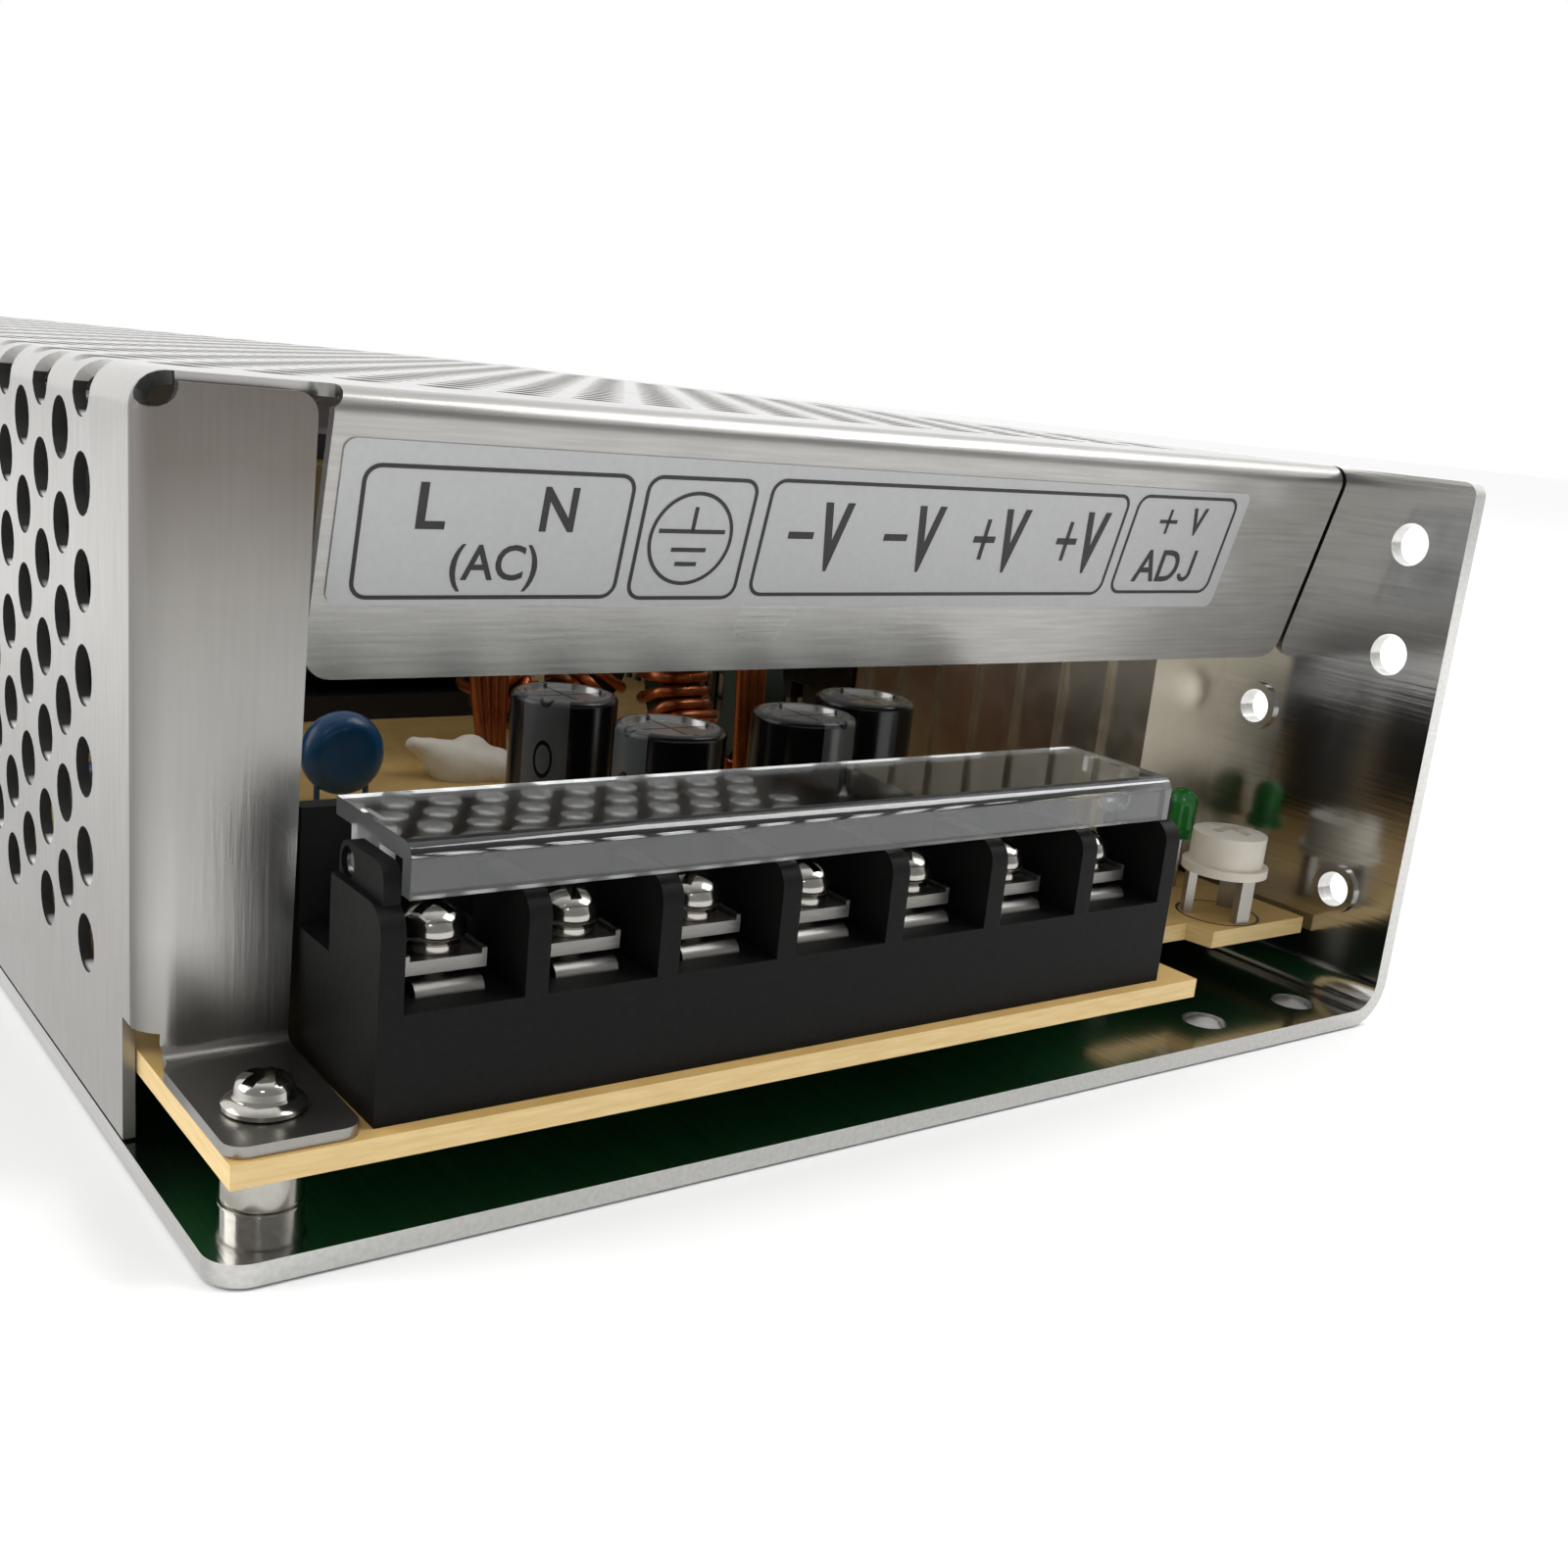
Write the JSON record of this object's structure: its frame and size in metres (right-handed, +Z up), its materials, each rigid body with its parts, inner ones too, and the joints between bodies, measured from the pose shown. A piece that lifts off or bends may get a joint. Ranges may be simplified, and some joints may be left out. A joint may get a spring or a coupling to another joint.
{
  "type": "enclosed switching power supply",
  "caption": "Enclosed switching power supply: folded metal chassis, perforated cover, screw terminals with a clear hinged flap, trimmer knob and lamp at the open front.",
  "frame": {"origin": "centre of the underside of the chassis floor", "axes": "X to the right seen from the terminal end, Y from the terminal end to the rear, Z up from the chassis floor"},
  "size_m": [0.11, 0.199, 0.05],
  "materials": {
    "chassis_aluminium": "bright mill finish",
    "cover_steel": "satin galvanised",
    "label_film": "silver film with black print",
    "screw_steel": "zinc plated",
    "plated_metal": "tin plated",
    "board_laminate": "tan laminate",
    "block_plastic": "black moulded",
    "clear_plastic": "clear moulded",
    "white_plastic": "white moulded",
    "lamp_green": "translucent",
    "capacitor_sleeve": "shrink sleeve",
    "disc_coating": "dipped coating",
    "thermistor_coating": "dipped coating",
    "silicone": "cured bead",
    "ferrite": "sintered",
    "copper_wire": "enamelled",
    "powder_core": "painted",
    "sink_aluminium": "extruded",
    "black_epoxy": "moulded",
    "yellow_tape": "film tape",
    "ceramic": "glazed"
  },
  "bodies": {
    "root": {"chassis": "chassis_aluminium", "cover": "cover_steel", "terminal_label": "label_film", "cover_screws": "screw_steel", "circuit_board": "board_laminate", "board_standoffs": "screw_steel", "board_screws": "screw_steel", "terminal_block": "block_plastic", "terminal_contacts": "plated_metal", "trimmer_base": "white_plastic", "status_lamp": "lamp_green", "output_capacitor_1": "capacitor_sleeve", "output_capacitor_2": "capacitor_sleeve", "output_capacitor_3": "capacitor_sleeve", "output_capacitor_4": "capacitor_sleeve", "bulk_capacitors": "capacitor_sleeve", "varistor": "disc_coating", "glue_blob": "silicone", "choke_core": "ferrite", "choke_windings": "copper_wire", "filter_core": "powder_core", "filter_winding": "copper_wire", "heat_sink": "sink_aluminium", "output_rectifiers": "black_epoxy", "transformer_core": "ferrite", "transformer_bobbin": "black_epoxy", "transformer_winding": "yellow_tape", "power_transistors": "black_epoxy", "heat_spreader": "sink_aluminium", "transistor_clamp": "screw_steel", "bridge_rectifier": "black_epoxy", "line_capacitor": "yellow_tape", "safety_capacitors": "disc_coating", "fuse": "ceramic", "fuse_clips": "plated_metal", "thermistor": "thermistor_coating", "control_chip": "black_epoxy", "optocoupler": "black_epoxy", "drive_transformer": "yellow_tape", "resistors": "ceramic"},
    "clamp_1": {"clamp_plate_1": "plated_metal"},
    "clamp_2": {"clamp_plate_2": "plated_metal"},
    "clamp_3": {"clamp_plate_3": "plated_metal"},
    "clamp_4": {"clamp_plate_4": "plated_metal"},
    "clamp_5": {"clamp_plate_5": "plated_metal"},
    "clamp_6": {"clamp_plate_6": "plated_metal"},
    "clamp_7": {"clamp_plate_7": "plated_metal"},
    "screw_1": {"terminal_screw_1": "screw_steel"},
    "screw_2": {"terminal_screw_2": "screw_steel"},
    "screw_3": {"terminal_screw_3": "screw_steel"},
    "screw_4": {"terminal_screw_4": "screw_steel"},
    "screw_5": {"terminal_screw_5": "screw_steel"},
    "screw_6": {"terminal_screw_6": "screw_steel"},
    "screw_7": {"terminal_screw_7": "screw_steel"},
    "flap": {"terminal_flap": "clear_plastic"},
    "knob": {"trimmer_knob": "white_plastic"}
  },
  "joints": [
    {"name": "clamp_1_lift", "type": "slide", "parent": "root", "child": "clamp_1", "axis": [0, 0, 1], "range_m": [0, 0.002]},
    {"name": "screw_1_turn", "type": "hinge", "parent": "clamp_1", "child": "screw_1", "pos_m": [-0.0396, -0.0929, 0.0185], "axis": [0, 0, 1], "range_deg": [0, 1440]},
    {"name": "clamp_2_lift", "type": "slide", "parent": "root", "child": "clamp_2", "axis": [0, 0, 1], "range_m": [0, 0.002]},
    {"name": "screw_2_turn", "type": "hinge", "parent": "clamp_2", "child": "screw_2", "pos_m": [-0.03, -0.0929, 0.0185], "axis": [0, 0, 1], "range_deg": [0, 1440]},
    {"name": "clamp_3_lift", "type": "slide", "parent": "root", "child": "clamp_3", "axis": [0, 0, 1], "range_m": [0, 0.002]},
    {"name": "screw_3_turn", "type": "hinge", "parent": "clamp_3", "child": "screw_3", "pos_m": [-0.0204, -0.0929, 0.0185], "axis": [0, 0, 1], "range_deg": [0, 1440]},
    {"name": "clamp_4_lift", "type": "slide", "parent": "root", "child": "clamp_4", "axis": [0, 0, 1], "range_m": [0, 0.002]},
    {"name": "screw_4_turn", "type": "hinge", "parent": "clamp_4", "child": "screw_4", "pos_m": [-0.0108, -0.0929, 0.0185], "axis": [0, 0, 1], "range_deg": [0, 1440]},
    {"name": "clamp_5_lift", "type": "slide", "parent": "root", "child": "clamp_5", "axis": [0, 0, 1], "range_m": [0, 0.002]},
    {"name": "screw_5_turn", "type": "hinge", "parent": "clamp_5", "child": "screw_5", "pos_m": [-0.0012, -0.0929, 0.0185], "axis": [0, 0, 1], "range_deg": [0, 1440]},
    {"name": "clamp_6_lift", "type": "slide", "parent": "root", "child": "clamp_6", "axis": [0, 0, 1], "range_m": [0, 0.002]},
    {"name": "screw_6_turn", "type": "hinge", "parent": "clamp_6", "child": "screw_6", "pos_m": [0.0084, -0.0929, 0.0185], "axis": [0, 0, 1], "range_deg": [0, 1440]},
    {"name": "clamp_7_lift", "type": "slide", "parent": "root", "child": "clamp_7", "axis": [0, 0, 1], "range_m": [0, 0.002]},
    {"name": "screw_7_turn", "type": "hinge", "parent": "clamp_7", "child": "screw_7", "pos_m": [0.018, -0.0929, 0.0185], "axis": [0, 0, 1], "range_deg": [0, 1440]},
    {"name": "flap_hinge", "type": "hinge", "parent": "root", "child": "flap", "pos_m": [-0.0108, -0.0918, 0.0225], "axis": [-1, 0, 0], "range_deg": [0, 90]},
    {"name": "trimmer_turn", "type": "hinge", "parent": "root", "child": "knob", "pos_m": [0.0446, -0.0869, 0.013], "axis": [0, 0, 1], "range_deg": [-130, 130]}
  ],
  "couplings": [
    {"joint": "screw_1_turn", "follows": "clamp_1_lift", "rad_per_m": 12566},
    {"joint": "screw_2_turn", "follows": "clamp_2_lift", "rad_per_m": 12566},
    {"joint": "screw_3_turn", "follows": "clamp_3_lift", "rad_per_m": 12566},
    {"joint": "screw_4_turn", "follows": "clamp_4_lift", "rad_per_m": 12566},
    {"joint": "screw_5_turn", "follows": "clamp_5_lift", "rad_per_m": 12566},
    {"joint": "screw_6_turn", "follows": "clamp_6_lift", "rad_per_m": 12566},
    {"joint": "screw_7_turn", "follows": "clamp_7_lift", "rad_per_m": 12566}
  ]
}
